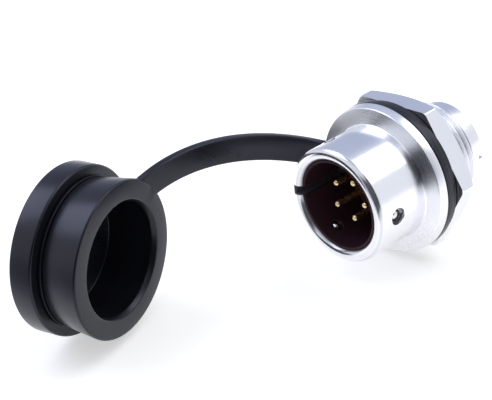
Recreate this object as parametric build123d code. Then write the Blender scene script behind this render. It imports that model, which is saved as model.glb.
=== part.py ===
from build123d import *
import math
import os

# Waterproof panel connector: a turned metal socket with five gold pins, a hexagon panel nut and a
# rubber dust cap that hangs from the panel neck by a moulded strap.
# Sizes are in millimetres and degrees. The axis is Y: the open front faces -Y, the cable side +Y.
# The origin is the centre of the flange's rear face, the plane that meets the panel's front.

# Socket barrel
barrel_radius = 8.8
barrel_length = 9.35
barrel_wall = 1.8
socket_depth = 10.0
rim_rounding = 0.4
mouth_rounding = 0.2
barrel_root_fillet = 0.3

# Flange, slightly crowned in front and drafted at its edge
flange_radius = 11.6
flange_edge = 1.4
flange_crown = 0.25
flange_draft = 0.27
flange_rounding = 0.12

# Neck behind the flange, with an outside thread of 1 mm pitch whose crest is this radius
neck_radius = 8.0
neck_length = 10.85
neck_wall = 1.8
neck_chamfer = 0.6

# Web between the socket and the rear bore
web_thickness = 1.2
web_step = 0.6

# Turn of the socket's pattern about the axis: keyway, balls and pins go together
socket_turn = -3.4

# Keyway in the barrel's inner wall, opposite the first ball
keyway_width = 1.5
keyway_depth = 1.3
keyway_length = 9.0

# Locking balls, caught in stepped holes through the barrel's wall
ball_count = 3
ball_radius = 0.95
ball_travel = 0.3
ball_setback = 3.57
ball_play = 0.03
ball_hole_clearance = 0.04
ball_lip_bite = 0.05
ball_seat_land = 0.1
ball_lip_land = 0.12
ball_mouth_radius = 1.25

# Plastic liner of the socket
liner_wall = 0.4
liner_setback = 0.5
liner_ball_clearance = 0.1

# Pin carrier: front insert, seals and rear insert, in order from the web to the rear
insert_stand = 0.9
insert_seal_thickness = 0.8
insert_body = 4.0
insert_rounding = 0.15
pin_seal_thickness = 1.4
rear_insert_thickness = 2.6
fit_gap = 0.03

# Contact pins
pin_count = 5
pin_circle_radius = 3.03
pin_radius = 0.5
pin_recess = 2.7
pin_nose_rounding = 0.3
pin_gap = 0.02
shoulder_radius = 0.85
shoulder_length = 2.0
shank_radius = 0.6
cup_radius = 0.8
cup_reach = 6.4
cup_bore_radius = 0.55
cup_bore_depth = 3.2
cup_scarf = 2.0
cup_start_gap = 0.05

# Rear clamp ring, screwed into the neck's rear bore
clamp_collar_length = 3.0
clamp_collar_step = 0.5
clamp_wall = 1.2
clamp_chamfer = 0.4
clamp_slot_width = 1.4
clamp_slot_depth = 1.0

# Tether ring, gasket and nut, stacked on the neck behind the flange
seat_gap = 0.05
ring_gap = 0.1
tether_ring_thickness = 1.2
tether_ring_rounding = 0.15
gasket_radius = 11.2
gasket_thickness = 1.0
gasket_rounding = 0.2
nut_across_flats = 21.5
nut_thickness = 3.25
nut_gap = 0.05
nut_face_radius = 10.65
nut_chamfer_angle = 30.0
nut_front_chamfer = 0.2
nut_thread_chamfer = 0.5

# Dust cap: place of its mouth and the way that the mouth faces
cap_mouth_x = -13.85
cap_mouth_y = -38.68
cap_mouth_z = 0.04
cap_heading = 108.03
cap_dip = 3.65

# Dust cap, along its own axis from the mouth to the end disc
cap_rim_radius = 11.45
cap_rim_rounding = 0.3
cap_squeeze = 0.2
cap_lip_height = 0.4
cap_lip_depth = 0.8
cap_lip_length = 1.2
cap_depth = 8.4
cap_floor = 1.8
cap_body_length = 5.7
cap_body_taper = 0.7
cap_groove_depth = 0.9
cap_groove_width = 0.25
cap_bead_width = 0.35
cap_bead_rise = 0.1
cap_disc_radius = 12.3
cap_disc_rounding = 0.35
cap_floor_rounding = 0.6

# Strap between the tether ring and the cap
strap_width = 4.05
strap_thickness = 1.2
strap_rounding = 0.25
strap_root_bury = 0.5
strap_root_flare = 1.4
strap_root_length = 2.2
strap_ring_handle = 5.0
strap_ring_rise = 0.12
strap_cap_angle = 40.7
strap_cap_bury = 0.3
strap_cap_lean = 0.32
strap_cap_skew = -24.0
strap_cap_handle = 13.8
strap_cap_tail = 1.5
strap_stations = 9
strap_station_bias = 1.5

# Places along the axis, from the sizes above
face_y = -(flange_edge + flange_crown)
rim_y = face_y - barrel_length
web_front_y = rim_y + socket_depth
web_rear_y = web_front_y + web_thickness
socket_radius = barrel_radius - barrel_wall
rear_bore_radius = neck_radius - neck_wall
web_hole_radius = rear_bore_radius - web_step
insert_radius = rear_bore_radius - fit_gap
boss_radius = web_hole_radius - fit_gap
insert_front_y = web_front_y - insert_stand
insert_shoulder_y = web_rear_y + insert_seal_thickness
insert_rear_y = insert_shoulder_y + insert_body
pin_seal_rear_y = insert_rear_y + pin_seal_thickness
rear_insert_y = pin_seal_rear_y + rear_insert_thickness
tether_rear_y = seat_gap + tether_ring_thickness
gasket_front_y = tether_rear_y + seat_gap
gasket_rear_y = gasket_front_y + gasket_thickness
nut_front_y = gasket_rear_y + seat_gap
nut_rear_y = nut_front_y + nut_thickness
pin_tip_y = rim_y + pin_recess
ball_y = rim_y + ball_setback
keyway_angle = 180 + socket_turn

# Ball seat: the ball rests on a lip smaller than itself and is kept in by a second lip outside
ball_lip_radius = ball_radius - ball_lip_bite
ball_reach = math.sqrt(ball_radius ** 2 - ball_lip_radius ** 2)
ball_rest_radius = socket_radius + ball_seat_land + ball_reach + ball_play
ball_lip_start = ball_rest_radius + ball_travel + ball_reach + ball_play
ball_lip_end = ball_lip_start + ball_lip_land

# Dust cap directions: the way the mouth faces, and the way up across the cap
heading = math.radians(cap_heading)
dip = math.radians(cap_dip)
mouth_way = Vector(
    math.sin(heading) * math.cos(dip),
    -math.cos(heading) * math.cos(dip),
    -math.sin(dip),
)
cap_side = Vector(math.cos(heading), math.sin(heading), 0)
cap_up = mouth_way.cross(cap_side)
mouth_centre = Vector(cap_mouth_x, cap_mouth_y, cap_mouth_z)


def turned(corners):
    """Solid turned about Y. Each corner is (radius, y) or (radius, y, rounding)."""
    outline = make_face(Polyline(*[(radius, y) for radius, y, *_ in corners], close=True))
    for radius, y, *roundings in corners:
        for rounding in roundings:
            nearest = outline.vertices().sort_by_distance((radius, y, 0))[0]
            outline = fillet(nearest, rounding)
    return revolve(outline, axis=Axis.Y)


def about_axis(shape, angle):
    """The shape turned about the connector's axis, from +X towards +Z."""
    return shape.rotate(Axis.Y, -angle)


def pin_places():
    """Angle of each contact pin round the axis."""
    return [socket_turn + 360 * number / pin_count for number in range(pin_count)]


def ball_places():
    """Angle of each locking ball round the axis."""
    return [socket_turn + 360 * number / ball_count for number in range(ball_count)]


def ball_hole():
    """Cutter for one ball hole, along +X: inner lip, bore, thin outer lip and straight mouth."""
    bore = ball_radius + ball_hole_clearance
    seat = socket_radius + ball_seat_land
    profile = make_face(
        Polyline(
            (socket_radius / 2, 0),
            (socket_radius / 2, ball_lip_radius),
            (seat, ball_lip_radius),
            (seat, bore),
            (ball_lip_start, bore),
            (ball_lip_start, ball_lip_radius),
            (ball_lip_end, ball_lip_radius),
            (ball_lip_end, ball_mouth_radius),
            (barrel_radius + ball_radius, ball_mouth_radius),
            (barrel_radius + ball_radius, 0),
            close=True,
        )
    )
    return Pos(0, ball_y, 0) * revolve(profile, axis=Axis.X)


def key_slot(reach, length):
    """Cutter for the keyway, out to the given radius, along the given length from the rim."""
    start = socket_radius / 2
    slot = Box(reach - start, length, keyway_width, align=(Align.MIN, Align.MIN, Align.CENTER))
    return about_axis(Pos(start, rim_y, 0) * slot, keyway_angle)


def make_shell():
    """Barrel, flange, web and neck in one turned piece."""
    shell = turned(
        [
            (socket_radius, rim_y, mouth_rounding),
            (barrel_radius, rim_y, rim_rounding),
            (barrel_radius, face_y, barrel_root_fillet),
            (flange_radius - flange_draft, -flange_edge, flange_rounding),
            (flange_radius, 0, flange_rounding),
            (neck_radius, 0),
            (neck_radius, neck_length - neck_chamfer),
            (neck_radius - neck_chamfer, neck_length),
            (rear_bore_radius, neck_length),
            (rear_bore_radius, web_rear_y),
            (web_hole_radius, web_rear_y),
            (web_hole_radius, web_front_y),
            (socket_radius, web_front_y),
        ]
    )
    shell -= key_slot(socket_radius + keyway_depth, keyway_length)
    for angle in ball_places():
        shell -= about_axis(ball_hole(), angle)
    return shell


def make_socket_liner():
    """Thin plastic sleeve inside the barrel, open at the keyway and at the balls."""
    outside = socket_radius - fit_gap
    inside = outside - liner_wall
    front = rim_y + liner_setback
    liner = turned(
        [
            (inside, front, liner_wall / 4),
            (outside, front),
            (outside, web_front_y),
            (inside, web_front_y),
        ]
    )
    liner -= key_slot(socket_radius + keyway_depth, keyway_length)
    window = Cylinder(ball_radius + liner_ball_clearance, socket_radius, rotation=(0, 90, 0))
    for angle in ball_places():
        liner -= about_axis(Pos(socket_radius, ball_y, 0) * window, angle)
    return liner


def pin_bores(radius, start, end):
    """Cutters for the pin holes of one radius between two places along the axis."""
    bores = Part()
    for angle in pin_places():
        bore = Cylinder(radius, end - start, rotation=(90, 0, 0))
        bores += about_axis(Pos(pin_circle_radius, (start + end) / 2, 0) * bore, angle)
    return bores


def make_front_insert():
    """Plastic pin carrier: a boss through the web and a body behind it."""
    insert = turned(
        [
            (0, insert_front_y),
            (boss_radius, insert_front_y, insert_rounding),
            (boss_radius, insert_shoulder_y),
            (insert_radius, insert_shoulder_y),
            (insert_radius, insert_rear_y),
            (0, insert_rear_y),
        ]
    )
    insert -= pin_bores(pin_radius + pin_gap, insert_front_y - fit_gap, insert_rear_y)
    pocket_y = insert_rear_y - shoulder_length
    insert -= pin_bores(shoulder_radius + fit_gap, pocket_y, insert_rear_y + fit_gap)
    return insert


def make_insert_seal():
    """Flat rubber ring between the web and the front insert's shoulder."""
    inside = web_hole_radius
    return turned(
        [
            (inside, web_rear_y),
            (insert_radius, web_rear_y),
            (insert_radius, insert_shoulder_y),
            (inside, insert_shoulder_y),
        ]
    )


def carrier_disc(front, rear, bore):
    """Disc that fills the rear bore, with one hole for each pin."""
    disc = turned([(0, front), (insert_radius, front), (insert_radius, rear), (0, rear)])
    return disc - pin_bores(bore, front - fit_gap, rear + fit_gap)


def make_pin_seal():
    """Rubber disc round the pins' shanks."""
    return carrier_disc(insert_rear_y, pin_seal_rear_y, shank_radius + pin_gap)


def make_rear_insert():
    """Plastic disc that holds the seal and the pins forward."""
    return carrier_disc(pin_seal_rear_y, rear_insert_y, cup_radius + fit_gap)


def make_rear_clamp_ring():
    """Ring screwed into the rear bore, with a collar and two spanner slots."""
    inside = rear_bore_radius - clamp_wall
    collar = rear_bore_radius + clamp_collar_step
    rear = neck_length + clamp_collar_length
    ring = turned(
        [
            (inside, rear_insert_y),
            (rear_bore_radius - pin_gap, rear_insert_y),
            (rear_bore_radius - pin_gap, neck_length),
            (collar, neck_length),
            (collar, rear - clamp_chamfer),
            (collar - clamp_chamfer, rear),
            (inside, rear),
        ]
    )
    slot = Box(2 * neck_radius, 2 * clamp_slot_depth, clamp_slot_width)
    return ring - Pos(0, rear, 0) * slot


def make_contact_pin(angle):
    """Gold pin: domed nose, shoulder, shank and an open solder cup at the rear."""
    shoulder_y = insert_rear_y - shoulder_length
    cup_y = pin_seal_rear_y + cup_start_gap
    end_y = rear_insert_y + cup_reach
    pin = turned(
        [
            (0, pin_tip_y),
            (pin_radius, pin_tip_y, pin_nose_rounding),
            (pin_radius, shoulder_y),
            (shoulder_radius, shoulder_y),
            (shoulder_radius, insert_rear_y),
            (shank_radius, insert_rear_y),
            (shank_radius, cup_y),
            (cup_radius, cup_y),
            (cup_radius, end_y),
            (cup_bore_radius, end_y),
            (cup_bore_radius, end_y - cup_bore_depth),
            (0, end_y - cup_bore_depth),
        ]
    )
    scarf = Box(
        cup_radius,
        cup_scarf,
        2 * cup_radius,
        align=(Align.MIN, Align.MAX, Align.CENTER),
    )
    pin -= Pos(0, end_y, 0) * scarf
    return about_axis(Pos(pin_circle_radius, 0, 0) * pin, angle)


def make_locking_ball(angle):
    """Steel ball on its inner lip."""
    return about_axis(Pos(ball_rest_radius, ball_y, 0) * Sphere(ball_radius), angle)


def make_panel_gasket():
    """Flat rubber gasket between the tether ring and the nut."""
    inside = neck_radius + pin_gap
    return turned(
        [
            (inside, gasket_front_y),
            (gasket_radius, gasket_front_y, gasket_rounding),
            (gasket_radius, gasket_rear_y, gasket_rounding),
            (inside, gasket_rear_y),
        ]
    )


def make_panel_nut():
    """Hexagon nut with flats above and below, its rear corners turned off to a cone."""
    corner = nut_across_flats / 2 / math.cos(math.radians(30))
    hexagon = Pos(0, nut_front_y, 0) * Rot(-90, 0, 0) * extrude(
        RegularPolygon(corner, 6), nut_thickness
    )
    fall = (corner - nut_face_radius) * math.tan(math.radians(nut_chamfer_angle))
    bore = neck_radius + nut_gap
    envelope = turned(
        [
            (bore + nut_thread_chamfer, nut_front_y),
            (corner - nut_front_chamfer, nut_front_y),
            (corner, nut_front_y + nut_front_chamfer),
            (corner, nut_rear_y - fall),
            (nut_face_radius, nut_rear_y),
            (bore + nut_thread_chamfer, nut_rear_y),
            (bore, nut_rear_y - nut_thread_chamfer),
            (bore, nut_front_y + nut_thread_chamfer),
        ]
    )
    return hexagon & envelope


def make_tether_ring():
    """Ring that turns freely on the neck, behind the flange."""
    inside = neck_radius + ring_gap
    return turned(
        [
            (inside, seat_gap),
            (flange_radius, seat_gap, tether_ring_rounding),
            (flange_radius, tether_rear_y, tether_ring_rounding),
            (inside, tether_rear_y),
        ]
    )


def make_cap_cup():
    """Cup of the dust cap: lipped mouth, drafted body, bead between two grooves, end disc."""
    bore = barrel_radius - cap_squeeze
    lip = bore - cap_lip_height
    body_end = cap_rim_radius - cap_body_taper
    bead = body_end + cap_bead_rise
    groove = body_end - cap_groove_depth
    bead_y = cap_body_length + cap_groove_width
    disc_y = bead_y + cap_bead_width + cap_groove_width
    end_y = cap_depth + cap_floor
    cup = turned(
        [
            (0, cap_depth),
            (bore, cap_depth, cap_floor_rounding),
            (bore, cap_lip_depth + cap_lip_length),
            (lip, cap_lip_depth),
            (bore, 0),
            (cap_rim_radius, 0, cap_rim_rounding),
            (body_end, cap_body_length),
            (groove, cap_body_length),
            (groove, bead_y),
            (bead, bead_y),
            (bead, bead_y + cap_bead_width),
            (groove, bead_y + cap_bead_width),
            (groove, disc_y),
            (cap_disc_radius, disc_y, cap_disc_rounding),
            (cap_disc_radius, end_y, cap_disc_rounding),
            (0, end_y),
        ]
    )
    inward = mouth_way * -1
    return Plane(mouth_centre, x_dir=inward.cross(cap_up), z_dir=cap_up).location * cup


def cap_outward(angle):
    """Direction in the plane of the cap's mouth, at an angle up from its side."""
    turn = math.radians(angle)
    return cap_side * math.cos(turn) + cap_up * math.sin(turn)


def strap_curve():
    """Control points of the curve along the strap's outer face, ring end first."""
    ring_end = Vector(strap_root_bury - flange_radius, seat_gap, strap_ring_rise)
    ring_pull = ring_end - Vector(strap_ring_handle, 0, 0)
    cap_end = mouth_centre + cap_outward(strap_cap_angle) * (cap_rim_radius - strap_cap_bury)
    leaving = cap_outward(strap_cap_angle + strap_cap_skew)
    cap_pull = cap_end + (leaving + mouth_way * strap_cap_lean).normalized() * strap_cap_handle
    return ring_end, ring_pull, cap_pull, cap_end, leaving


def strap_section(share):
    """Cross-section of the strap at a share of the way from the ring to the cap."""
    start, pull, back, end, leaving = strap_curve()
    rest = 1 - share
    place = (
        start * rest ** 3
        + pull * (3 * rest ** 2 * share)
        + back * (3 * rest * share ** 2)
        + end * share ** 3
    )
    along = (
        (pull - start) * rest ** 2
        + (back - pull) * (2 * rest * share)
        + (end - back) * share ** 2
    ).normalized()
    across = Vector(0, 0, rest) + mouth_way.cross(leaving) * share
    across = (across - along * across.dot(along)).normalized()
    return place, along, across


def strap_outline(place, along, across, width):
    """Rounded strip outline with its outer face on the curve."""
    strip = RectangleRounded(width, strap_thickness, strap_rounding)
    return Plane(place, x_dir=across, z_dir=along) * Pos(0, strap_thickness / 2) * strip


def make_strap():
    """Flat curved strap, lofted, with a flared root at the ring and a tail inside the cap."""
    outlines = []
    start, pull, back, end, _ = strap_curve()
    for station in range(strap_stations):
        share = (station / (strap_stations - 1)) ** strap_station_bias
        place, along, across = strap_section(share)
        gone = (place - start).length
        flare = strap_root_flare * max(0, 1 - gone / strap_root_length)
        outlines.append(strap_outline(place, along, across, strap_width + flare))
    place, along, across = strap_section(1)
    outlines.append(strap_outline(place + along * strap_cap_tail, along, across, strap_width))
    return loft(outlines)


def make_tethered_cap():
    """Tether ring, strap and cap: one rubber moulding."""
    return make_tether_ring() + make_strap() + make_cap_cup()


def build():
    """Every piece by name."""
    pieces = {
        "shell": make_shell(),
        "socket_liner": make_socket_liner(),
        "front_insert": make_front_insert(),
        "insert_seal": make_insert_seal(),
        "pin_seal": make_pin_seal(),
        "rear_insert": make_rear_insert(),
        "rear_clamp_ring": make_rear_clamp_ring(),
        "panel_gasket": make_panel_gasket(),
        "panel_nut": make_panel_nut(),
        "tethered_cap": make_tethered_cap(),
    }
    for number, angle in enumerate(pin_places(), 1):
        pieces[f"contact_pin_{number}"] = make_contact_pin(angle)
    for number, angle in enumerate(ball_places(), 1):
        pieces[f"locking_ball_{number}"] = make_locking_ball(angle)
    return pieces


os.makedirs("parts", exist_ok=True)
for name, piece in build().items():
    export_step(piece, f"parts/{name}.step")
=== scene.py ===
import math

import bpy
from bpy.props import FloatProperty, FloatVectorProperty, IntProperty, PointerProperty
from bpy.types import Operator, Panel, PropertyGroup
from mathutils import Matrix, Vector


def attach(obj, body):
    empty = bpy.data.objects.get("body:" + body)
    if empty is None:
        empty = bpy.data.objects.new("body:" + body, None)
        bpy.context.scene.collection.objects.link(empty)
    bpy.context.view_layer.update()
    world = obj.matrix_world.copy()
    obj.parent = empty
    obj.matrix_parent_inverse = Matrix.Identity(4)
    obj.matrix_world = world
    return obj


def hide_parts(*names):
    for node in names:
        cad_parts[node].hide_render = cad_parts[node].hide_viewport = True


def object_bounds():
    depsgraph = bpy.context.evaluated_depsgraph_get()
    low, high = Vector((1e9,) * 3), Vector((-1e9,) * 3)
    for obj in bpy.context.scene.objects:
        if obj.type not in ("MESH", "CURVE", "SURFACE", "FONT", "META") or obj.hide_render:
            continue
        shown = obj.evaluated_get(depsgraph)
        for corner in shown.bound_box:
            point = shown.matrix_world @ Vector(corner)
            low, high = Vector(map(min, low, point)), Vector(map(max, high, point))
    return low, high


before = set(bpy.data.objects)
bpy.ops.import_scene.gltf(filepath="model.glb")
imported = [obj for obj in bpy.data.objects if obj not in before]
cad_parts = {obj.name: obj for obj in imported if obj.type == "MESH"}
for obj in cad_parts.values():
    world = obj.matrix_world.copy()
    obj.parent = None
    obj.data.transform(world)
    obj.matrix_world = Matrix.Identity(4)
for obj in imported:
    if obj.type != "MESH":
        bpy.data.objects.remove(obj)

bl_info = {
    "name": "Waterproof panel connector",
    "version": (1, 0, 0),
    "blender": (4, 5, 0),
    "location": "3D View > Sidebar > Connector",
    "description": "Models the pieces of a panel connector, their finishes and a studio",
    "category": "Object",
}

# Y runs along the connector, its open socket faces -Y, and Z is up. Lengths are in metres.
MM = 0.001
CAD_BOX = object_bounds()
SAME_PLACE = 0.012 * MM  # how far a point may lie off the loop that is rounded
MERGED = 0.002 * MM  # closer points become one
OVERRUN = MM  # how far a cutter reaches past what it cuts
SMOOTH_ANGLE = math.radians(32)
NUT_SMOOTH_ANGLE = math.radians(20)
LOOP_SEGMENTS = 6  # in the rounding of an edge loop
SMALL_STEPS = 48  # round the pins and the liner's windows
HOLE_STEPS = 64  # round the shell's ball holes
BALL_CUTS = 15  # across each side of the cube that becomes a ball
THREAD_STEPS = 96  # in one turn of the thread
THREAD_BURY = 0.06 * MM  # how deep the ridge stands in the core
THREAD_GAP = 0.03 * MM  # left between one turn of the ridge and the next
STRIP_LENGTH = 38 * MM  # the strap before it is laid along its curve
STRAP_CUTS = 95  # along the strap


def plain(label, words, value, unit="NONE", precision=3):
    """A number that is never negative."""
    return FloatProperty(
        name=label, description=words, default=value, min=0, unit=unit, precision=precision
    )


def length(label, words, millimetres):
    """A length property, given in millimetres and kept in metres."""
    return plain(label, words, millimetres * MM, "LENGTH", 5)


def lengths(label, words, *values):
    """Several lengths, in the order that the words name them."""
    metres = [value * MM for value in values]
    return FloatVectorProperty(
        name=label, description=words, default=metres, size=len(values), unit="LENGTH", precision=5
    )


def colour(label, words, red, green, blue):
    """A colour property."""
    return FloatVectorProperty(
        name=label, description=words, default=(red, green, blue), min=0, max=1, subtype="COLOR"
    )


def share(label, words, value):
    """A number from 0 to 1."""
    return FloatProperty(
        name=label, description=words, default=value, min=0, max=1, subtype="FACTOR"
    )


def degrees(label, words, value):
    """An angle, given in degrees and kept in radians."""
    return FloatProperty(
        name=label, description=words, default=math.radians(value), subtype="ANGLE"
    )


class ShellSizes(PropertyGroup):
    """Sizes of the turned shell and of what is cut in it"""

    steps: IntProperty(
        name="Steps", description="Steps round the turned pieces", default=224, min=48
    )
    socket_turn: degrees("Socket turn", "Turn of keyway, balls and pins, from +X towards +Z", -3.4)
    barrel_radius: length("Barrel radius", "Outside of the barrel", 8.8)
    socket_radius: length("Socket radius", "Inside of the barrel", 7.0)
    rim_y: length("Rim", "Distance of the rim in front of the panel seat", 11.0)
    face_y: length("Flange face", "Distance of the flange face at the barrel", 1.65)
    web_front: length("Web front", "Distance of the web's front in front of the seat", 1.0)
    web_rear: length("Web rear", "Distance of the web's rear behind the seat", 0.2)
    web_hole: length("Web hole", "Radius of the hole through the web", 5.6)
    flange_radius: length("Flange radius", "Outside of the flange at its rear", 11.6)
    flange_edge: length("Flange edge", "Thickness of the flange at its edge", 1.4)
    flange_draft: length("Flange draft", "How much smaller the flange's front edge is", 0.27)
    neck_radius: length("Neck radius", "Crest of the neck's thread", 8.0)
    neck_core: length("Neck core", "Root of the neck's thread", 7.42)
    neck_length: length("Neck length", "From the panel seat to the neck's end", 10.85)
    neck_chamfer: length("Neck chamfer", "Chamfer of the neck's core at its end", 0.3)
    rear_bore: length("Rear bore", "Radius of the neck's bore", 6.2)
    thread_pitch: length("Thread pitch", "One turn of the thread", 1.0)
    thread_land: length("Thread land", "Flat on the thread's crest", 0.12)
    thread_ramp: lengths("Thread ramp", "Where the thread rises and where it is full", 0.5, 1.2)
    keyway: lengths("Keyway", "Width, outer reach, and length from the rim", 1.5, 8.3, 9.0)
    balls: IntProperty(name="Balls", description="Number of locking balls", default=3, min=1)
    ball_y: length("Ball place", "Distance of the balls in front of the seat", 7.43)
    ball_radius: length("Ball radius", "Radius of a locking ball", 0.95)
    ball_rest: length("Ball rest", "Distance of a ball's centre from the axis", 7.434)
    ball_hole: lengths("Ball hole", "Radius of the lips, the bore and the mouth", 0.9, 0.99, 1.25)
    seat_land: length("Seat land", "Height of the inner lip", 0.1)
    outer_lip: lengths("Outer lip", "Distances of its ends from the axis", 8.068, 8.188)
    edge_break: length("Edge break", "Chamfer of the ball holes' mouths", 0.07)
    roundings: lengths("Roundings", "Rim, root, flange and rear bore", 0.85, 0.3, 0.12, 0.1)


class PinSizes(PropertyGroup):
    """Sizes of the gold contact pins"""

    count: IntProperty(name="Pins", description="Number of contact pins", default=5, min=1)
    circle: length("Pin circle", "Distance of the pins from the axis", 3.03)
    radii: lengths(
        "Radii", "Core, pin, shoulder, shank, cup and its bore", 0.04, 0.5, 0.85, 0.6, 0.8, 0.55
    )
    tip_y: length("Pin tip", "Distance of the tips in front of the seat", 8.3)
    shoulder_ends: lengths("Shoulder ends", "Front and rear of the shoulder", 3.0, 5.0)
    cup_ends: lengths("Cup ends", "Front and open end of the cup", 6.45, 15.4)
    cup_depth: length("Cup depth", "Depth of the cup's bore", 3.2)
    scarf: length("Scarf", "Length of the cup's open side", 2.0)
    roundings: lengths("Roundings", "Pin's nose, steps and cup's open end", 0.35, 0.06, 0.04)


class StackSizes(PropertyGroup):
    """Sizes of the gasket, the nut, the clamp ring and the liner"""

    gasket_ends: lengths("Gasket ends", "Front and rear of the gasket", 1.3, 2.3)
    gasket_radii: lengths("Gasket radii", "Hole and outside of the gasket", 8.02, 11.2)
    gasket_rounding: length("Gasket rounding", "Rounding of the gasket's edges", 0.2)
    nut_ends: lengths("Nut ends", "Front and rear of the nut", 2.35, 5.6)
    nut_flats: length("Across flats", "Width of the nut", 21.5)
    nut_bore: length("Nut bore", "Radius of the nut's hole", 8.05)
    nut_face: length("Nut face", "Radius of the nut's flat rear face", 10.65)
    nut_corner_drop: length("Corner drop", "How far the rear chamfer falls to the corners", 1.018)
    nut_countersink: length("Nut countersink", "Chamfer of the nut's hole", 0.5)
    nut_front_chamfer: length("Front chamfer", "Chamfer of the nut's front corners", 0.2)
    nut_roundings: lengths(
        "Nut roundings", "Corners, chamfer's foot, rear face and countersink", 0.16, 0.3, 0.12, 0.05
    )
    clamp_ends: lengths("Clamp ends", "Front and rear of the clamp ring", 9.0, 13.85)
    clamp_radii: lengths("Clamp radii", "Hole, plug in the neck, and collar", 5.0, 6.18, 6.7)
    clamp_roundings: lengths(
        "Clamp roundings", "Plain edges, collar's rear and hole's rear", 0.1, 0.4, 0.15
    )
    clamp_slots: lengths("Spanner slots", "Width and depth", 1.4, 1.0)
    liner: lengths("Liner", "Inside, outside and place of the front", 6.57, 6.97, -10.5)
    liner_roundings: lengths("Liner roundings", "Inner and outer front edge", 0.12, 0.06)
    liner_window: length("Liner window", "Radius of the liner's hole at a ball", 1.05)


class CapSizes(PropertyGroup):
    """Sizes of the tethered dust cap"""

    mouth: lengths("Mouth", "Centre of the cap's mouth, along X, Y and Z", -13.85, -38.68, 0.04)
    heading: degrees("Heading", "The way the mouth faces, from -Y towards +X", 108.03)
    dip: degrees("Dip", "How far the mouth faces down", 3.65)
    rim: length("Rim radius", "Outside of the cap at its mouth", 11.45)
    bore: length("Cap bore", "Inside of the cap", 8.6)
    lip: length("Cap lip", "Radius of the lip that grips the barrel", 8.2)
    lip_depth: length("Lip depth", "Distance of the lip behind the mouth", 0.8)
    lip_length: length("Lip length", "Slope behind the lip", 1.2)
    depth: length("Cap depth", "Depth of the cap's inside", 8.4)
    end: length("Cap end", "Distance of the end face behind the mouth", 10.2)
    body_end: length("Body end", "Distance of the first groove behind the mouth", 5.7)
    body_rear: length("Body rear radius", "Radius of the body at the first groove", 10.75)
    groove: length("Groove radius", "Radius of the bottom of the grooves", 9.85)
    bead: length("Bead radius", "Outside of the bead", 10.85)
    bead_ends: lengths("Bead ends", "Front and rear of the bead between the grooves", 5.95, 6.3)
    disc_front: length("Disc front", "Front of the end disc", 6.55)
    disc: length("Disc radius", "Radius of the end disc", 12.3)
    core: length("Cap core", "Radius of the middle of the cap's end faces", 0.5)
    ring_bore: length("Tether bore", "Radius of the tether ring's hole", 8.1)
    ring_ends: lengths("Tether ends", "Front and rear of the tether ring", 0.05, 1.25)
    strap: lengths("Strap", "Width, thickness and rounding of the edges", 4.05, 1.2, 0.25)
    strap_flare: lengths("Strap flare", "Extra width at the tether ring, and its reach", 1.4, 2.2)
    strap_bury: length("Strap start", "Start of the strap inside the tether ring", 0.5)
    strap_handle: length("Ring handle", "Pull of the curve at the tether ring", 5.0)
    strap_rise: length("Strap rise", "How far the strap starts above the axis", 0.12)
    strap_meets: degrees("Strap meets the rim", "Angle up the rim at which the strap arrives", 40.7)
    strap_skew: degrees("Strap skew", "How far the strap leaves the rim sideways", -24.0)
    strap_end: length("Strap end", "Distance of the strap's end from the cap's axis", 11.15)
    strap_cap_handle: length("Cap handle", "Pull of the curve at the cap", 13.8)
    strap_lean: share("Strap lean", "How far the strap leans out of the rim's plane", 0.32)
    strap_tail: length("Strap tail", "Length of the strap inside the cap's wall", 1.5)
    roundings: lengths(
        "Roundings",
        "Rim and disc, floor, behind the lip, lip, bead and tether ring",
        *(0.35, 0.2, 0.3, 0.15, 0.05, 0.15),
    )


class Finishes(PropertyGroup):
    """Colours of the finishes"""

    nickel: colour("Nickel", "Satin plate of the shell", 0.87, 0.875, 0.905)
    nut: colour("Nut plate", "Plate of the nut and the clamp ring", 0.85, 0.855, 0.89)
    # Painted shade: a dark colour that stands for the shade in the keyway and the ball holes.
    bore_shade: colour("Bores", "Dull plate in the keyway and the ball holes", 0.130, 0.120, 0.130)
    steel: colour("Ball steel", "Steel of the locking balls", 0.72, 0.72, 0.74)
    gold: colour("Gold", "Plate of the contact pins", 0.98, 0.74, 0.42)
    liner: colour("Liner", "Plastic inside the barrel", 0.028, 0.0105, 0.0155)
    insert: colour("Insert", "Plastic that carries the pins", 0.080, 0.028, 0.022)
    seal: colour("Seal", "Rubber of the inner seals", 0.20, 0.045, 0.03)
    gasket: colour("Gasket", "Rubber of the gasket", 0.0100, 0.0105, 0.0135)
    rubber: colour("Cap rubber", "Rubber of the cap and its tether", 0.0070, 0.0074, 0.0110)
    gloss: colour("Gloss", "Cool tint of the rubber's gloss", 0.84, 0.86, 1.0)
    floor: colour("Floor", "Pale floor", 0.86, 0.86, 0.86)


class StudioSizes(PropertyGroup):
    """Camera, lamps, floor and what the studio shows in reflections"""

    lens: plain("Lens", "Focal length in millimetres", 101.546)
    sensor: plain("Sensor", "Sensor width in millimetres", 36.0)
    floor_size: length("Floor size", "Width of the floor", 1200)
    floor_front: length("Floor front", "How far reflections show the floor's front", 38)
    floor_turn: degrees("Floor turn", "The way the floor's front faces, round Z from +X", -52.8)
    floor_lift: plain("Floor lift", "Light added to the floor", 0.46)
    key_power: plain("Key power", "Power of the key lamp", 1.3, "POWER")
    fill_power: plain("Fill power", "Power of the fill lamp", 1.2, "POWER")
    fill_tint: colour("Fill tint", "Colour of the fill lamp", 0.72, 0.75, 1.0)
    sky: plain("Sky", "Strength of the room's light", 0.62)
    sky_tint: colour("Sky tint", "Colour of the room's light", 0.96, 0.97, 1.0)
    walls: colour("Walls", "Pale walls of the room", 0.88, 0.915, 0.985)
    shade: colour("Shade", "Bluish part of the room behind the connector", 0.46, 0.51, 0.68)
    dusk: colour("Dusk", "Half-dark part of the room in front of the cap", 0.38, 0.40, 0.50)
    dark: colour("Dark", "Dark part of the room round the camera", 0.012, 0.014, 0.022)


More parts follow.
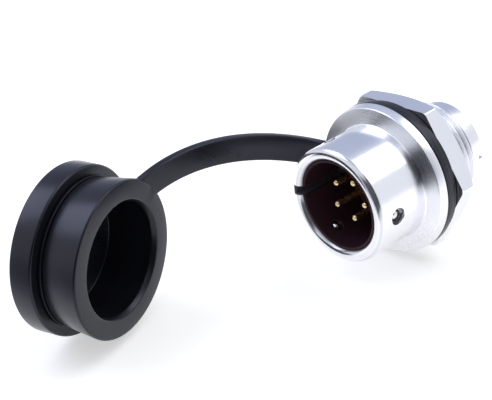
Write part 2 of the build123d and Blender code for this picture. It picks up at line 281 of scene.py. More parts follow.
def put_away():
    """Object mode, with nothing selected."""
    if bpy.context.object and bpy.context.object.mode != "OBJECT":
        leave_edit()
    bpy.ops.object.select_all(action="DESELECT")


def take(piece):
    """Only this piece selected, and active."""
    put_away()
    piece.select_set(True)
    bpy.context.view_layer.objects.active = piece


def edit(action="SELECT"):
    """Edit mode on edges, with everything selected or nothing."""
    bpy.ops.object.mode_set(mode="EDIT")
    bpy.ops.mesh.select_mode(type="EDGE")
    bpy.ops.mesh.select_all(action=action)


def leave_edit():
    """Back to object mode."""
    bpy.ops.object.mode_set(mode="OBJECT")


def settle(piece, matrix=None):
    """Puts the piece's place into its mesh."""
    take(piece)
    if matrix is not None:
        piece.matrix_world = matrix
        bpy.context.view_layer.update()
    bpy.ops.object.transform_apply(location=True, rotation=True, scale=True)


def added(name):
    """The primitive that was just added, named, with its place in its mesh."""
    piece = bpy.context.object
    piece.name = name
    settle(piece)
    return piece


def pick_edges(piece, wanted):
    """Edit mode with just the edges selected whose two ends pass the test."""
    take(piece)
    edit("DESELECT")
    leave_edit()
    points = piece.data.vertices
    for edge in piece.data.edges:
        edge.select = wanted(*(points[index].co for index in edge.vertices))
    bpy.ops.object.mode_set(mode="EDIT")


def round_edges(piece, wanted, rounding, segments):
    """Rounds the edges whose two ends pass the test."""
    pick_edges(piece, wanted)
    bpy.ops.mesh.bevel(offset=rounding, segments=segments, affect="EDGES")
    leave_edit()


def round_loop(piece, radius, place, rounding):
    """Rounds the edge loop at one radius and place."""

    def on_loop(*ends):
        return all(
            abs(math.hypot(end.x, end.z) - radius) < SAME_PLACE and abs(end.y - place) < SAME_PLACE
            for end in ends
        )

    round_edges(piece, on_loop, rounding, LOOP_SEGMENTS)


def smooth(piece, angle=SMOOTH_ANGLE):
    """Smooth shading with sharp edges kept sharp."""
    take(piece)
    bpy.ops.object.shade_smooth_by_angle(angle=angle)


def close_up(piece):
    """Doubles merged and every face turned outwards."""
    take(piece)
    edit()
    bpy.ops.mesh.remove_doubles(threshold=MERGED)
    bpy.ops.mesh.normals_make_consistent(inside=False)
    leave_edit()


def turn(name, corners, steps=None, rings=True):
    """Piece turned about Y: a circle is extruded and scaled from corner to corner.

    A corner is (radius, place) or (radius, place, rounding). A ring's outline closes on itself,
    and a plug has its two ends filled. The usual number of steps is the shell's.
    """
    put_away()
    radius, place = corners[0][:2]
    bpy.ops.mesh.primitive_circle_add(
        vertices=steps or bpy.context.scene.connector_shell.steps,
        radius=radius,
        location=(0, place, 0),
        rotation=(math.pi / 2, 0, 0),
    )
    piece = added(name)
    edit()
    extrude = bpy.ops.mesh.extrude_edges_move
    if not rings:
        bpy.ops.mesh.edge_face_add()
        extrude = bpy.ops.mesh.extrude_region_move
    for corner in corners[1:] + corners[:1] * rings:
        extrude()
        bpy.ops.transform.translate(value=(0, corner[1] - place, 0))
        factor = corner[0] / radius
        bpy.ops.transform.resize(value=(factor, 1, factor), center_override=(0, corner[1], 0))
        radius, place = corner[:2]
    close_up(piece)
    for corner in corners:
        if len(corner) > 2:
            round_loop(piece, *corner)
    smooth(piece)
    return piece


def flat_ring(name, bore, radius, ends, rounding):
    """Flat ring with its two outer edges rounded."""
    front, rear = ends
    corners = [(bore, front), (radius, front, rounding), (radius, rear, rounding), (bore, rear)]
    return turn(name, corners)


def block(name, low, high):
    """Box between two corners."""
    put_away()
    centre = [(a + b) / 2 for a, b in zip(low, high)]
    size = [b - a for a, b in zip(low, high)]
    bpy.ops.mesh.primitive_cube_add(size=1, location=centre, scale=size)
    return added(name)


def combine(piece, other, operation="DIFFERENCE"):
    """Cuts, joins or intersects the piece with the other, which is used up."""
    take(piece)
    bpy.ops.object.modifier_add(type="BOOLEAN")
    modifier = piece.modifiers[-1]
    modifier.operation = operation
    modifier.object = other
    modifier.solver = "EXACT"
    bpy.ops.object.modifier_apply(modifier=modifier.name)
    bpy.data.objects.remove(other, do_unlink=True)


def about_axis(piece, angle):
    """Turns the piece about the connector's axis, from +X towards +Z."""
    settle(piece, Matrix.Rotation(-angle, 4, "Y") @ piece.matrix_world)


def angles(count):
    """Even angles round the axis, the first at the socket's turn."""
    first = bpy.context.scene.connector_shell.socket_turn
    return [first + math.tau * number / count for number in range(count)]


def copies_round_axis(blank, count, place):
    """Copies of a blank at even angles round the axis, numbered from 1. The blank is used up."""
    for number, angle in enumerate(angles(count), 1):
        take(blank)
        bpy.ops.object.duplicate(linked=False)
        copy = bpy.context.object
        settle(copy, Matrix.Rotation(-angle, 4, "Y") @ Matrix.Translation(place))
        yield number, copy
    bpy.data.objects.remove(blank, do_unlink=True)


def cut_keyway(piece):
    """Cuts the slot for the plug's key, opposite the first ball."""
    sizes = bpy.context.scene.connector_shell
    width, reach, depth = sizes.keyway
    low = (-reach, -sizes.rim_y - OVERRUN, -width / 2)
    high = (-sizes.socket_radius / 2, -sizes.rim_y + depth, width / 2)
    cutter = block("key_cutter", low, high)
    about_axis(cutter, sizes.socket_turn)
    combine(piece, cutter)


def cut_at_balls(piece, name, outline, steps):
    """Cuts a round hole of this outline, from the axis outwards, at every ball."""
    sizes = bpy.context.scene.connector_shell
    along_x = Matrix.Rotation(-math.pi / 2, 4, "Z")
    for angle in angles(sizes.balls):
        cutter = turn(name, outline, steps, rings=False)
        settle(cutter, Matrix.Translation((0, -sizes.ball_y, 0)) @ along_x)
        about_axis(cutter, angle)
        combine(piece, cutter)


def dress(piece, name, body, slot, key, *nodes):
    """Names the finished piece, gives it its finish, ties it to its body and hides the nodes it
    stands for.
    """
    piece.name = name
    piece.data.name = name
    piece.data.materials.clear()
    piece.data.materials.append(finish(key))
    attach(piece, body)
    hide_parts(*nodes)
    put_away()


def paint_node(name, key):
    """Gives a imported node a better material."""
    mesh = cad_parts[name].data
    material = finish(key)
    if not mesh.materials:
        mesh.materials.append(material)
    for index in range(len(mesh.materials)):
        mesh.materials[index] = material


def start_material(name, base, metallic, roughness):
    """Material with its even values on the shader, and its tree and shader to add to."""
    material = bpy.data.materials.new(name)
    material.use_nodes = True
    shader = material.node_tree.nodes["Principled BSDF"]
    feed(shader, Base_Color=(*base, 1), Metallic=metallic, Roughness=roughness)
    return material, material.node_tree, shader


def put(socket, value):
    """Sets a socket's value, or links an output into it."""
    if isinstance(value, bpy.types.NodeSocket):
        socket.id_data.links.new(value, socket)
    else:
        socket.default_value = value


def feed(made, *ordered, **named):
    """Sets a node's own values and its sockets by name, and further sockets in their order."""
    for key, value in named.items():
        if hasattr(made, key):
            setattr(made, key, value)
        else:
            put(made.inputs[key.replace("_", " ")], value)
    for socket, value in zip(made.inputs, ordered):
        put(socket, value)
    return made


def node(tree, kind, *ordered, **named):
    """Adds a node with these values."""
    return feed(tree.nodes.new(kind), *ordered, **named)


def noise(tree, vector, scale, detail=3.0, roughness=0.5):
    """Noise on the given vector."""
    made = node(
        tree, "ShaderNodeTexNoise", Vector=vector, Scale=scale, Detail=detail, Roughness=roughness
    )
    return made.outputs["Fac"]


def spread(tree, value, low, high, start=0.3, stop=0.7, ramp="LINEAR"):
    """Maps a pattern to a range of values."""
    values = (value, start, stop, low, high)
    return node(tree, "ShaderNodeMapRange", *values, interpolation_type=ramp).outputs["Result"]


def maths(tree, operation, *values):
    """Combines values."""
    return node(tree, "ShaderNodeMath", *values, operation=operation).outputs["Value"]


def reach_towards(tree, vector, direction):
    """How far a vector reaches in a fixed direction."""
    made = node(tree, "ShaderNodeVectorMath", vector, direction, operation="DOT_PRODUCT")
    return made.outputs["Value"]


def tone(tree, value, base, low, high):
    """Colour that runs between a darker and a lighter tone of the base."""
    made = node(tree, "ShaderNodeValToRGB", Fac=value)
    for stop, position, level in zip(made.color_ramp.elements, (0.3, 0.7), (low, high)):
        stop.position = position
        stop.color = (*[min(1, part * level) for part in base], 1)
    return made.outputs["Color"]


def blend_colour(tree, amount, first, second):
    """A colour pattern, with a plain colour blended in by the amount."""
    made = node(tree, "ShaderNodeMix", data_type="RGBA", Factor=amount, A=first, B=(*second, 1))
    return made.outputs["Result"]


def relief(tree, shader, height, distance, strength):
    """Small relief from a pattern."""
    made = node(tree, "ShaderNodeBump", Height=height, Distance=distance, Strength=strength)
    feed(shader, Normal=made.outputs["Normal"])


def object_place(tree):
    """Object coordinates."""
    return node(tree, "ShaderNodeTexCoord").outputs["Object"]


def place_parts(tree, vector):
    """The three parts of a vector."""
    return node(tree, "ShaderNodeSeparateXYZ", Vector=vector).outputs


def turned_place(tree):
    """Coordinates that stay the same round the axis, for marks left by turning."""
    parts = place_parts(tree, object_place(tree))
    across = node(tree, "ShaderNodeCombineXYZ", parts["X"], parts["Z"]).outputs["Vector"]
    radius = node(tree, "ShaderNodeVectorMath", across, operation="LENGTH").outputs["Value"]
    return node(tree, "ShaderNodeCombineXYZ", radius, parts["Y"]).outputs["Vector"]


def bore_shade_mask(tree):
    """Mask of the painted shade: 1 in the keyway and the ball holes, but not on the ball holes'
    lips, and 0 on the outside.
    """
    sizes = bpy.context.scene.connector_shell
    outside, rim = sizes.barrel_radius, -sizes.rim_y
    radius, along, _ = place_parts(tree, turned_place(tree))
    across = place_parts(tree, object_place(tree))["X"]
    under = spread(tree, radius, 0, 1, outside - 0.05 * MM, outside - 0.35 * MM)
    lip = maths(tree, "COMPARE", radius, sizes.outer_lip[1], 0.03 * MM)
    beside_keyway = spread(tree, across, 0, 1, -7 * MM, -6 * MM)
    under = maths(tree, "SUBTRACT", under, maths(tree, "MULTIPLY", lip, beside_keyway))
    behind = spread(tree, along, 0, 1, rim + 0.1 * MM, rim + 0.6 * MM)
    before = maths(tree, "LESS_THAN", along, -sizes.web_front + 0.2 * MM)
    return maths(tree, "MULTIPLY", under, maths(tree, "MULTIPLY", behind, before))


def plated_metal(name, base, roughness, marks, bore_shade=None):
    """Satin plate over turned metal: fine turning marks, a slightly uneven sheen, and painted shade
    that darkens the keyway and the ball holes.
    """
    material, tree, shader = start_material(name, base, 1.0, roughness)
    grooves = node(tree, "ShaderNodeTangent", direction_type="RADIAL", axis="Y")
    feed(shader, Anisotropic=0.6, Anisotropic_Rotation=0.25, Tangent=grooves.outputs["Tangent"])
    turned = noise(tree, turned_place(tree), 5200, 4.0, 0.6)
    cloud = noise(tree, object_place(tree), 160)
    plate = tone(tree, cloud, base, 0.975, 1.02)
    uneven = spread(tree, turned, roughness - 0.02, roughness + 0.03)
    sheen = maths(tree, "ADD", spread(tree, cloud, -0.02, 0.03), uneven)
    if bore_shade is not None:
        # Painted shade: the plate turns darker and less metallic in the keyway and the ball holes,
        # by the mask.
        inside = bore_shade_mask(tree)
        plate = blend_colour(tree, inside, plate, bore_shade)
        feed(shader, Metallic=spread(tree, inside, 1.0, 0.3, 0.0, 1.0))
        face = -bpy.context.scene.connector_shell.face_y
        along = place_parts(tree, object_place(tree))["Y"]
        sheen = maths(tree, "ADD", sheen, spread(tree, along, 0, 0.09, face - 0.3 * MM, face))
    feed(shader, Base_Color=plate, Roughness=sheen)
    relief(tree, shader, turned, 0.004 * MM, marks)
    return material


def moulded(name, base, roughness, grain, strength, shine=0.5, tint=(1, 1, 1)):
    """Moulded plastic or rubber: fine grain, faint clouds of tone and an uneven sheen."""
    material, tree, shader = start_material(name, base, 0.0, roughness)
    place = object_place(tree)
    cloud = noise(tree, place, 130, 4.0)
    sheen = spread(tree, cloud, roughness - 0.02, roughness + 0.03)
    feed(shader, Specular_IOR_Level=shine, Specular_Tint=(*tint, 1))
    feed(shader, Base_Color=tone(tree, cloud, base, 0.9, 1.1), Roughness=sheen)
    relief(tree, shader, noise(tree, place, grain, 2.0), 0.02 * MM, strength)
    return material


def gold_plate(name, base):
    """Gold plate with a slight polish and small clouds."""
    material, tree, shader = start_material(name, base, 1.0, 0.3)
    cloud = noise(tree, object_place(tree), 900)
    sheen = spread(tree, cloud, 0.24, 0.38)
    feed(shader, Base_Color=tone(tree, cloud, base, 0.92, 1.06), Roughness=sheen)
    return material


def finish(key):
    """The finish by name, made once."""
    name = f"connector_{key}"
    if name in bpy.data.materials:
        return bpy.data.materials[name]
    colours = bpy.context.scene.connector_finishes
    shiny = dict(grain=3400, tint=colours.gloss)
    kinds = {
        # The nickel carries painted shade in its keyway and ball holes.
        "nickel": (plated_metal, dict(roughness=0.18, marks=0.012, bore_shade=colours.bore_shade)),
        "nut": (plated_metal, dict(roughness=0.24, marks=0.08)),
        "steel": (plated_metal, dict(roughness=0.12, marks=0.0)),
        "gold": (gold_plate, {}),
        "liner": (moulded, dict(roughness=0.5, grain=2600, strength=0.1, shine=0.15)),
        "insert": (moulded, dict(roughness=0.42, grain=2600, strength=0.12, shine=0.3)),
        "seal": (moulded, dict(roughness=0.55, grain=2600, strength=0.15)),
        "gasket": (moulded, dict(roughness=0.32, strength=0.1, shine=0.45, **shiny)),
        "rubber": (moulded, dict(roughness=0.28, strength=0.05, shine=0.43, **shiny)),
    }
    make, values = kinds[key]
    return make(name, getattr(colours, key), **values)


def make_thread(sizes):
    """Helical ridge of the neck's thread, trimmed to the neck's chamfered end."""
    base = sizes.neck_core - THREAD_BURY
    half = (sizes.thread_pitch - THREAD_GAP) / 2
    crest, land = sizes.neck_radius, sizes.thread_land / 2
    put_away()
    bpy.ops.mesh.primitive_plane_add(size=1)
    ridge = bpy.context.object
    profile = [(base, -half), (crest, -land), (crest, land), (base, half)]
    for index, (radius, place) in zip((0, 1, 3, 2), profile):
        ridge.data.vertices[index].co = (radius, place, 0)
    edit()
    bpy.ops.mesh.delete(type="ONLY_FACE")
    leave_edit()
    bpy.ops.object.modifier_add(type="SCREW")
    screw = ridge.modifiers[-1]
    screw.axis = "Y"
    screw.angle = math.tau
    screw.screw_offset = sizes.thread_pitch
    screw.iterations = int(sizes.neck_length / sizes.thread_pitch) + 1
    screw.steps = screw.render_steps = THREAD_STEPS
    screw.use_merge_vertices = True
    bpy.ops.object.modifier_apply(modifier=screw.name)
    edit()
    bpy.ops.mesh.fill_holes(sides=0)
    bpy.ops.mesh.normals_make_consistent(inside=False)
    leave_edit()
    inside = base - 0.2 * MM
    start, full = sizes.thread_ramp
    end = sizes.neck_length - 0.02 * MM
    outline = [
        (inside, start),
        (base, start),
        (crest, full),
        (crest, sizes.neck_length - (crest - base)),
        (base, end),
        (inside, end),
    ]
    combine(ridge, turn("thread_sleeve", outline), "INTERSECT")
    return ridge


class CONNECTOR_OT_shell(Operator):
    """Turn the shell, cut its keyway and ball holes and add the neck's thread"""

    bl_idname = "connector.shell"
    bl_label = "Shell"

    def execute(self, context):
        sizes = context.scene.connector_shell
        rim, end, chamfer = -sizes.rim_y, sizes.neck_length, sizes.neck_chamfer
        barrel, socket, flange = sizes.barrel_radius, sizes.socket_radius, sizes.flange_radius
        rim_edge, root, flange_edge, bore_edge = sizes.roundings
        outline = [
            (socket, rim, rim_edge),
            (barrel, rim, rim_edge),
            (barrel, -sizes.face_y, root),
            (flange - sizes.flange_draft, -sizes.flange_edge, flange_edge),
            (flange, 0, flange_edge),
            (sizes.neck_core, 0),
            (sizes.neck_core, end - chamfer),
            (sizes.neck_core - chamfer, end),
            (sizes.rear_bore, end, bore_edge),
            (sizes.rear_bore, sizes.web_rear),
            (sizes.web_hole, sizes.web_rear),
            (sizes.web_hole, -sizes.web_front),
            (socket, -sizes.web_front),
        ]
        shell = turn("shell_blank", outline)
        cut_keyway(shell)
        lip, bore, mouth = sizes.ball_hole
        seat, edge = socket + sizes.seat_land, sizes.edge_break
        lip_start, lip_end = sizes.outer_lip
        hole = [
            (lip, socket / 2),
            (lip, seat),
            (bore, seat),
            (bore, lip_start),
            (lip, lip_start),
            (lip, lip_end),
            (mouth, lip_end),
            (mouth, barrel - 2 * edge),
            (mouth + edge, barrel),
            (mouth + edge, barrel + OVERRUN),
        ]
        cut_at_balls(shell, "ball_cutter", hole, HOLE_STEPS)
        combine(shell, make_thread(sizes), "UNION")
        smooth(shell)
        dress(shell, "turned_shell", "root", "shell_nickel", "nickel", "shell")
        return {"FINISHED"}


class CONNECTOR_OT_liner(Operator):
    """Turn the plastic liner and open it at the keyway and the balls"""

    bl_idname = "connector.liner"
    bl_label = "Socket liner"

    def execute(self, context):
        sizes = context.scene.connector_shell
        stack = context.scene.connector_stack
        inside, outside, front = stack.liner
        inner_edge, outer_edge = stack.liner_roundings
        outline = [
            (inside, front, inner_edge),
            (outside, front, outer_edge),
            (outside, -sizes.web_front),
            (inside, -sizes.web_front),
        ]
        liner = turn("liner_blank", outline)
        cut_keyway(liner)
        ends = (sizes.socket_radius / 2, sizes.barrel_radius)
        window = [(stack.liner_window, end) for end in ends]
        cut_at_balls(liner, "liner_window", window, SMALL_STEPS)
        smooth(liner)
        dress(liner, "liner_sleeve", "root", "liner_plastic", "liner", "socket_liner")
        return {"FINISHED"}


class CONNECTOR_OT_carrier(Operator):
    """Finish the inserts and the seals that carry the pins"""

    bl_idname = "connector.carrier"
    bl_label = "Pin carrier"

    def execute(self, context):
        for name in ("front_insert", "rear_insert"):
            paint_node(name, "insert")
        for name in ("insert_seal", "pin_seal"):
            paint_node(name, "seal")
        return {"FINISHED"}


class CONNECTOR_OT_pins(Operator):
    """Turn one contact pin with its solder cup and copy it round the pin circle"""

    bl_idname = "connector.pins"
    bl_label = "Contact pins"

    def execute(self, context):
        sizes = context.scene.connector_pins
        core, radius, shoulder, shank, cup, bore = sizes.radii
        tip, (shoulder_front, shoulder_rear) = -sizes.tip_y, sizes.shoulder_ends
        cup_front, cup_rear = sizes.cup_ends
        cup_floor = cup_rear - sizes.cup_depth
        nose, step_edge, cup_edge = sizes.roundings
        outline = [
            (core, tip),
            (radius, tip, nose),
            (radius, shoulder_front),
            (shoulder, shoulder_front, step_edge),
            (shoulder, shoulder_rear, step_edge),
            (shank, shoulder_rear),
            (shank, cup_front),
            (cup, cup_front, step_edge),
            (cup, cup_rear, cup_edge),
            (bore, cup_rear, cup_edge),
            (bore, cup_floor),
            (core, cup_floor),
        ]
        blank = turn("pin_blank", outline, SMALL_STEPS, rings=False)
        low, high = (0, cup_rear - sizes.scarf, -2 * cup), (2 * cup, cup_rear + OVERRUN, 2 * cup)
        scarf = block("scarf_cutter", low, high)
        combine(blank, scarf)
        smooth(blank)
        for number, pin in copies_round_axis(blank, sizes.count, (sizes.circle, 0, 0)):
            dress(pin, f"gold_pin_{number}", "root", "pin_gold", "gold", f"contact_pin_{number}")
        return {"FINISHED"}


class CONNECTOR_OT_balls(Operator):
    """Round a subdivided cube to a steel ball and copy it into the three holes"""

    bl_idname = "connector.balls"
    bl_label = "Locking balls"

    def execute(self, context):
        sizes = context.scene.connector_shell
        put_away()
        bpy.ops.mesh.primitive_cube_add(size=sizes.ball_radius)
        blank = bpy.context.object
        edit()
        bpy.ops.mesh.subdivide(number_cuts=BALL_CUTS)
        bpy.ops.transform.tosphere(value=1)
        leave_edit()
        reach = blank.data.vertices[0].co.length
        blank.scale = [sizes.ball_radius / reach] * 3
        settle(blank)
        smooth(blank, math.pi)
        place = (sizes.ball_rest, -sizes.ball_y, 0)
        for number, ball in copies_round_axis(blank, sizes.balls, place):
            node_name = f"locking_ball_{number}"
            dress(ball, f"steel_ball_{number}", f"ball_{number}", "ball_steel", "steel", node_name)
        return {"FINISHED"}


class CONNECTOR_OT_gasket(Operator):
    """Turn the flat gasket with rounded edges"""

    bl_idname = "connector.gasket"
    bl_label = "Panel gasket"

    def execute(self, context):
        stack = context.scene.connector_stack
        radii, ends = stack.gasket_radii, stack.gasket_ends
        gasket = flat_ring("gasket_blank", *radii, ends, stack.gasket_rounding)
        dress(gasket, "gasket_ring", "root", "gasket_rubber", "gasket", "panel_gasket")
        return {"FINISHED"}


class CONNECTOR_OT_nut(Operator):
    """Shape the hexagon nut and turn off its rear corners"""

    bl_idname = "connector.nut"
    bl_label = "Panel nut"

    def execute(self, context):
        stack = context.scene.connector_stack
        front, rear = stack.nut_ends
        corner_edge, foot, face_edge, sink_edge = stack.nut_roundings
        half_side = math.radians(30)
        corner = stack.nut_flats / 2 / math.cos(half_side)
        depth = rear - front
        put_away()
        bpy.ops.mesh.primitive_cylinder_add(
            vertices=6,
            radius=corner,
            depth=depth,
            location=(0, front + depth / 2, 0),
            rotation=(math.pi / 2, half_side, 0),
        )
        nut = added("nut_blank")
        round_edges(nut, lambda a, b: abs(a.y - b.y) > depth / 2, corner_edge, 3)
        bore, sink, chamfer = stack.nut_bore, stack.nut_countersink, stack.nut_front_chamfer
        outline = [
            (bore + sink, front),
            (corner - chamfer, front),
            (corner, front + chamfer),
            (corner, rear - stack.nut_corner_drop, foot),
            (stack.nut_face, rear, face_edge),
            (bore + sink, rear, sink_edge),
            (bore, rear - sink),
            (bore, front + sink),
        ]
        combine(nut, turn("nut_envelope", outline), "INTERSECT")
        smooth(nut, NUT_SMOOTH_ANGLE)
        dress(nut, "hexagon_nut", "nut", "nut_nickel", "nut", "panel_nut")
        return {"FINISHED"}


class CONNECTOR_OT_clamp(Operator):
    """Turn the rear clamp ring and cut its spanner slots"""

    bl_idname = "connector.clamp"
    bl_label = "Rear clamp ring"

    def execute(self, context):
        neck_end = context.scene.connector_shell.neck_length
        stack = context.scene.connector_stack
        bore, plug, collar = stack.clamp_radii
        front, rear = stack.clamp_ends
        edge, collar_edge, hole_edge = stack.clamp_roundings
        outline = [
            (bore, front, edge),
            (plug, front, edge),
            (plug, neck_end),
            (collar, neck_end, edge),
            (collar, rear, collar_edge),
            (bore, rear, hole_edge),
        ]
        ring = turn("clamp_blank", outline)
        width, depth = stack.clamp_slots
        low = (-2 * collar, rear - depth, -width / 2)
        high = (2 * collar, rear + OVERRUN, width / 2)
        slot = block("slot_cutter", low, high)
        combine(ring, slot)
        smooth(ring)
        dress(ring, "clamp_ring", "root", "nut_nickel", "nut", "rear_clamp_ring")
        return {"FINISHED"}


def cap_directions(cap):
    """The way the cap's mouth faces, across it and up it."""
    flat = math.cos(cap.dip)
    mouth_way = Vector(
        (math.sin(cap.heading) * flat, -math.cos(cap.heading) * flat, -math.sin(cap.dip))
    )
    side = Vector((math.cos(cap.heading), math.sin(cap.heading), 0))
    return mouth_way, side, mouth_way.cross(side)


def strap_points(cap, flange):
    """The four control points of the strap's outer face, and the way it leaves the rim."""
    mouth_way, side, up = cap_directions(cap)
    start = Vector((cap.strap_bury - flange, cap.ring_ends[0], cap.strap_rise))
    pull = start - Vector((cap.strap_handle, 0, 0))
    outward = side * math.cos(cap.strap_meets) + up * math.sin(cap.strap_meets)
    leaves = cap.strap_meets + cap.strap_skew
    leaving = side * math.cos(leaves) + up * math.sin(leaves)
    end = Vector(cap.mouth) + outward * cap.strap_end
    back = end + (leaving + mouth_way * cap.strap_lean).normalized() * cap.strap_cap_handle
    return start, pull, back, end, leaving


def strap_frame(cap, flange, part):
    """Place, and ways along, across and through the strap, from 0 at the ring to 1 at the cap."""
    start, pull, back, end, leaving = strap_points(cap, flange)
    rest = 1 - part
    place = (
        start * rest ** 3
        + pull * (3 * rest ** 2 * part)
        + back * (3 * rest * part ** 2)
        + end * part ** 3
    )
    along = (
        (pull - start) * rest ** 2 + (back - pull) * (2 * rest * part) + (end - back) * part ** 2
    ).normalized()
    across = Vector((0, 0, rest)) + cap_directions(cap)[0].cross(leaving) * part
    across = (across - along * across.dot(along)).normalized()
    return place, along, across, along.cross(across)


def make_strap(cap, flange):
    """Straight rounded strip, divided along its length and laid along the strap's curve."""
    stretch = STRIP_LENGTH
    width, thickness, rounding = cap.strap
    extra, flare_reach = cap.strap_flare
    strip = block("strap_strip", (-width / 2, 0, 0), (width / 2, thickness, stretch))

    def lengthwise(a, b):
        return abs(a.z - b.z) > stretch / 2

    round_edges(strip, lengthwise, rounding, 4)
    pick_edges(strip, lengthwise)
    bpy.ops.mesh.subdivide(number_cuts=STRAP_CUTS)
    leave_edit()
    curve_share = 1 - cap.strap_tail / stretch
    first = strap_frame(cap, flange, 0)[0]
    for vertex in strip.data.vertices:
        part = vertex.co.z / stretch / curve_share
        place, along, across, through = strap_frame(cap, flange, min(part, 1))
        tail = max(0, part - 1) * curve_share * stretch
        gone = (place - first).length
        flare = extra * max(0, 1 - gone / flare_reach) ** 2
        wide = vertex.co.x * (1 + flare / width)
        vertex.co = place + along * tail + across * wide + through * vertex.co.y
    close_up(strip)
    return strip


class CONNECTOR_OT_cap(Operator):
    """Model the dust cap, its strap and its tether ring as one moulding"""

    bl_idname = "connector.cap"
    bl_label = "Tethered dust cap"

    def execute(self, context):
        cap = context.scene.connector_cap
        flange = context.scene.connector_shell.flange_radius
        edge, floor_edge, behind_lip, lip_edge, bead_edge, ring_edge = cap.roundings
        bead_front, bead_rear = cap.bead_ends
        outline = [
            (cap.core, cap.depth),
            (cap.bore, cap.depth, floor_edge),
            (cap.bore, cap.lip_depth + cap.lip_length, behind_lip),
            (cap.lip, cap.lip_depth, lip_edge),
            (cap.bore, 0, lip_edge),
            (cap.rim, 0, edge),
            (cap.body_rear, cap.body_end, bead_edge),
            (cap.groove, cap.body_end),
            (cap.groove, bead_front),
            (cap.bead, bead_front, bead_edge),
            (cap.bead, bead_rear, bead_edge),
            (cap.groove, bead_rear),
            (cap.groove, cap.disc_front),
            (cap.disc, cap.disc_front, edge),
            (cap.disc, cap.end, edge),
            (cap.core, cap.end),
        ]
        cup = turn("cup_blank", outline, rings=False)
        mouth_way, _, up = cap_directions(cap)
        inward = -mouth_way
        turned_to = Matrix((inward.cross(up), inward, up)).transposed().to_4x4()
        settle(cup, Matrix.Translation(Vector(cap.mouth)) @ turned_to)
        ring = flat_ring("tether_blank", cap.ring_bore, flange, cap.ring_ends, ring_edge)
        combine(cup, make_strap(cap, flange), "UNION")
        combine(cup, ring, "UNION")
        smooth(cup)
        dress(cup, "dust_cap", "tether", "cap_rubber", "rubber", "tethered_cap")
        return {"FINISHED"}


def seen_white(tree, shader, strength):
    """Adds plain light to a shader, but only where the camera or a reflection looks at it."""
    path = node(tree, "ShaderNodeLightPath").outputs
    seen = maths(tree, "MAXIMUM", path["Is Camera Ray"], path["Is Glossy Ray"])
    seen = maths(tree, "MAXIMUM", seen, path["Is Transmission Ray"])
    light = node(tree, "ShaderNodeEmission", Strength=maths(tree, "MULTIPLY", seen, strength))
    return node(tree, "ShaderNodeAddShader", shader.outputs[0], light.outputs[0]).outputs[0]


def lay_floor(studio, base):
    """Pale floor that clears the cap at every half turn of the tether.

    Reflections show the room in place of the floor's far front.
    """
    put_away()
    lowest = min(CAD_BOX[0][2], -CAD_BOX[1][2]) - 0.02 * MM
    bpy.ops.mesh.primitive_plane_add(size=studio.floor_size, location=(0, 0, lowest))
    floor = added("studio_floor")
    material, tree, shader = start_material("connector_floor", base, 0.0, 0.9)
    place = object_place(tree)
    cloud = noise(tree, place, 3, 2.0)
    feed(shader, Base_Color=tone(tree, cloud, base, 0.995, 1.005))
    front, towards = studio.floor_front, studio.floor_turn
    ahead = reach_towards(tree, place, (math.cos(towards), math.sin(towards), 0))
    far = spread(tree, ahead, 0, 1, front, front + 4 * MM)
    mirrored = node(tree, "ShaderNodeLightPath").outputs["Is Glossy Ray"]
    through = maths(tree, "MULTIPLY", far, mirrored)
    lit = seen_white(tree, shader, studio.floor_lift)
    clear = node(tree, "ShaderNodeBsdfTransparent").outputs[0]
    surface = node(tree, "ShaderNodeMixShader", through, lit, clear).outputs[0]
    feed(tree.nodes["Material Output"], Surface=surface)
    floor.data.materials.append(material)


def bearing(round_z, up):
    """Direction at an angle round Z from +X, and an angle up, in degrees."""
    round_z, up = math.radians(round_z), math.radians(up)
    flat = math.cos(up)
    return Vector((flat * math.cos(round_z), flat * math.sin(round_z), math.sin(up)))


def wall_patch(tree, way, room, patch, towards, wide, soft):
    """Blends a soft round patch of another colour into the room, wide and soft in degrees."""
    near = reach_towards(tree, way, bearing(*towards))
    edges = [math.cos(math.radians(angle)) for angle in (wide + soft, wide - soft)]
    amount = spread(tree, near, 0, 1, *edges, ramp="SMOOTHSTEP")
    return blend_colour(tree, amount, room, patch)


def light_room(studio):
    """Pale room: white to the camera, with soft darker parts in reflections."""
    world = bpy.data.worlds.new("connector_room")
    bpy.context.scene.world = world
    world.use_nodes = True
    tree = world.node_tree
    tree.nodes.clear()
    path = node(tree, "ShaderNodeLightPath").outputs
    way = node(tree, "ShaderNodeTexCoord").outputs["Generated"]
    room = node(tree, "ShaderNodeRGB").outputs[0]
    room.default_value = (*studio.walls, 1)
    for patch, towards, wide, soft in (
        (studio.shade, (136, 34), 30, 14),
        (studio.shade, (0, 90), 16, 12),
        (studio.dusk, (-106, -8), 14, 9),
        (studio.dark, (-66, 4), 26, 5),
        (studio.dark, (-38, 15), 27, 5),
        (studio.dark, (-8, 14), 20, 5),
        (studio.dark, (-10, 33), 18, 5),
        (studio.dark, (-13, 46), 13, 5),
    ):
        room = wall_patch(tree, way, room, patch, towards, wide, soft)
    light, mirrored, seen = (
        node(tree, "ShaderNodeBackground", Color=shown, Strength=strength).outputs[0]
        for shown, strength in (((*studio.sky_tint, 1), studio.sky), (room, 1), ((1, 1, 1, 1), 1))
    )
    glossy, camera = path["Is Glossy Ray"], path["Is Camera Ray"]
    unseen = node(tree, "ShaderNodeMixShader", glossy, light, mirrored).outputs[0]
    whole = node(tree, "ShaderNodeMixShader", camera, unseen, seen).outputs[0]
    node(tree, "ShaderNodeOutputWorld", Surface=whole)


def hang_lamp(name, power, size, place, tint=(1, 1, 1)):
    """Soft square lamp that looks at the part."""
    put_away()
    bpy.ops.object.light_add(type="AREA", location=place)
    lamp = bpy.context.object
    lamp.name = name
    lamp.data.energy = power
    lamp.data.size = size
    lamp.data.color = tint
    aim = Vector((-5 * MM, -20 * MM, 0)) - Vector(place)
    lamp.rotation_euler = aim.to_track_quat("-Z", "Y").to_euler()


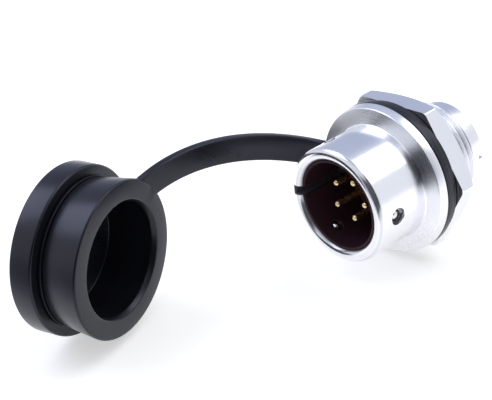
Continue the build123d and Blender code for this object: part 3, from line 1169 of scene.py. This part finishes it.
def place_camera(studio):
    """Camera at the photograph's viewing angle."""
    put_away()
    right = Vector((0.672392, 0.728923, -0.128689))
    up = Vector((-0.259113, 0.394650, 0.881540))
    back = Vector((0.693362, -0.559395, 0.454232))
    turned_to = Matrix((right, up, back)).transposed().to_4x4()
    place = Matrix.Translation((127.7916 * MM, -129.9708 * MM, 91.958 * MM))
    bpy.ops.object.camera_add()
    camera = bpy.context.object
    camera.name = "studio_camera"
    camera.matrix_world = place @ turned_to
    camera.data.sensor_width = studio.sensor
    camera.data.lens = studio.lens
    camera.data.clip_start = 5 * MM
    camera.data.clip_end = 10
    bpy.context.scene.camera = camera


class CONNECTOR_OT_stage(Operator):
    """Set the floor, the room's light, the lamps and the camera"""

    bl_idname = "connector.stage"
    bl_label = "Studio"

    def execute(self, context):
        studio = context.scene.connector_studio
        lay_floor(studio, context.scene.connector_finishes.floor)
        light_room(studio)
        hang_lamp("key_lamp", studio.key_power, 0.5, (0.25, 0.35, 0.6))
        hang_lamp("fill_lamp", studio.fill_power, 0.4, (-0.31, -0.18, 0.49), studio.fill_tint)
        place_camera(studio)
        context.scene.view_settings.view_transform = "Standard"
        return {"FINISHED"}


class CONNECTOR_PT_pieces(Panel):
    """Lists the steps that model the connector"""

    bl_label = "Panel connector"
    bl_idname = "CONNECTOR_PT_pieces"
    bl_space_type = "VIEW_3D"
    bl_region_type = "UI"
    bl_category = "Connector"

    def draw(self, context):
        for step in STEPS:
            self.layout.operator(step.bl_idname)


STEPS = (
    CONNECTOR_OT_stage,
    CONNECTOR_OT_shell,
    CONNECTOR_OT_liner,
    CONNECTOR_OT_carrier,
    CONNECTOR_OT_pins,
    CONNECTOR_OT_balls,
    CONNECTOR_OT_gasket,
    CONNECTOR_OT_nut,
    CONNECTOR_OT_clamp,
    CONNECTOR_OT_cap,
)
GROUPS = {
    "connector_shell": ShellSizes,
    "connector_pins": PinSizes,
    "connector_stack": StackSizes,
    "connector_cap": CapSizes,
    "connector_finishes": Finishes,
    "connector_studio": StudioSizes,
}


def register():
    """Registers the sizes, the steps and the panel."""
    for name, group in GROUPS.items():
        bpy.utils.register_class(group)
        setattr(bpy.types.Scene, name, PointerProperty(type=group))
    for step in (*STEPS, CONNECTOR_PT_pieces):
        bpy.utils.register_class(step)


def unregister():
    """Takes the panel, the steps and the sizes out again."""
    for step in reversed((*STEPS, CONNECTOR_PT_pieces)):
        bpy.utils.unregister_class(step)
    for name, group in reversed(GROUPS.items()):
        delattr(bpy.types.Scene, name)
        bpy.utils.unregister_class(group)


def main():
    """Makes every piece in order."""
    register()
    for step in STEPS:
        group, name = step.bl_idname.split(".")
        getattr(getattr(bpy.ops, group), name)()


if __name__ == "__main__":
    main()
